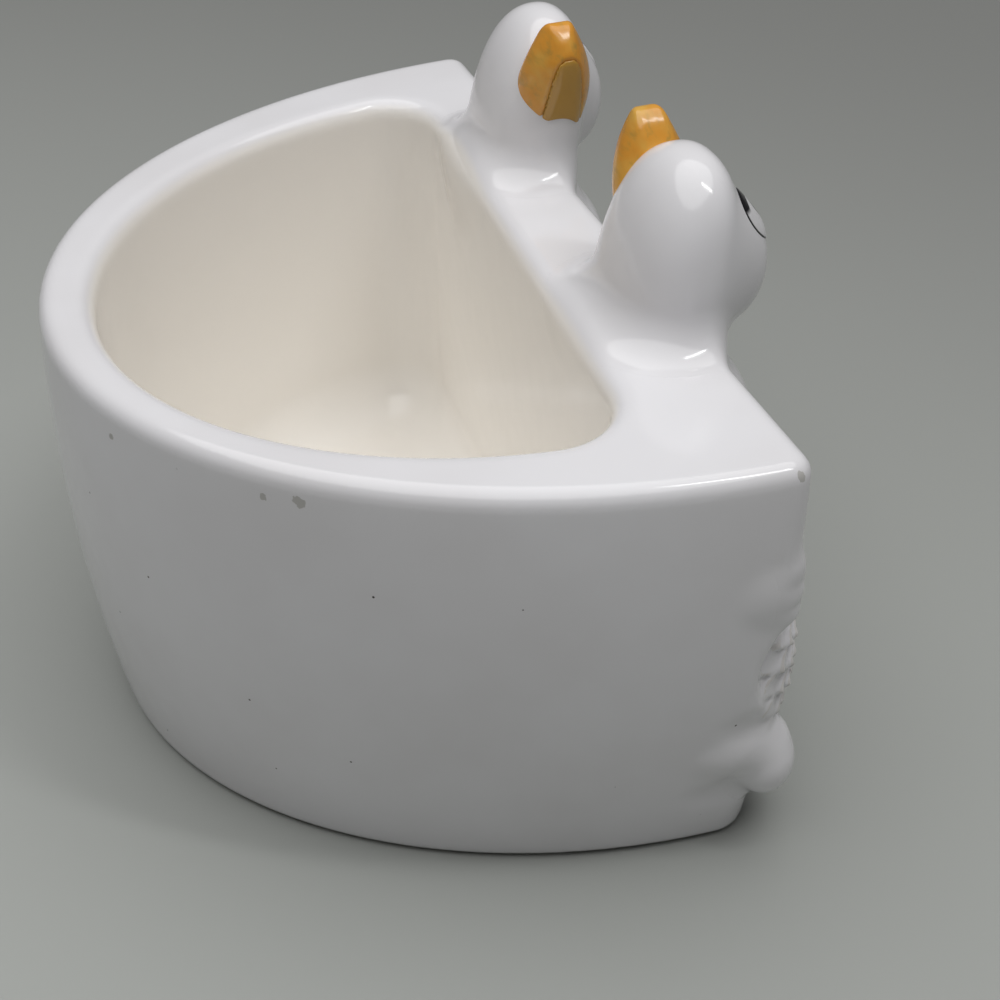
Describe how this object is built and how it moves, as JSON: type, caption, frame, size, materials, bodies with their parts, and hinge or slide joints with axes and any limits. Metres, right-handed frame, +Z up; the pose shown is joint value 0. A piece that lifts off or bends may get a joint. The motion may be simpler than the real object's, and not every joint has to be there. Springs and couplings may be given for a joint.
{
  "type": "planter",
  "caption": "Half-round white glazed planter with a D-shaped plant pocket; facing geese in relief on the flat front wall raise their heads and yellow bills above the rim.",
  "frame": {"origin": "on the table, under the middle of the planter's box", "axes": "+Z up, +X along the flat front wall to the right-hand goose, the front wall faces -Y"},
  "size_m": [0.162, 0.1111, 0.1044],
  "materials": {
    "white_glaze": "glossy white glaze over white earthenware, cream inside, dry foot",
    "bill_overglaze": "glossy yellow-orange overglaze paint",
    "eye_enamel": "white glaze with black painted lid, outline and pupil"
  },
  "bodies": {
    "root": {"pot_shell": "white_glaze", "left_goose_body": "white_glaze", "left_goose_neck": "white_glaze", "left_goose_head": "white_glaze", "left_upper_bill": "bill_overglaze", "left_lower_bill": "bill_overglaze", "left_eye": "eye_enamel", "left_wing": "white_glaze", "left_tail": "white_glaze", "left_foot": "white_glaze", "right_goose_body": "white_glaze", "right_goose_neck": "white_glaze", "right_goose_head": "white_glaze", "right_upper_bill": "bill_overglaze", "right_lower_bill": "bill_overglaze", "right_eye": "eye_enamel", "right_wing": "white_glaze", "right_tail": "white_glaze", "right_foot": "white_glaze"}
  },
  "joints": []
}
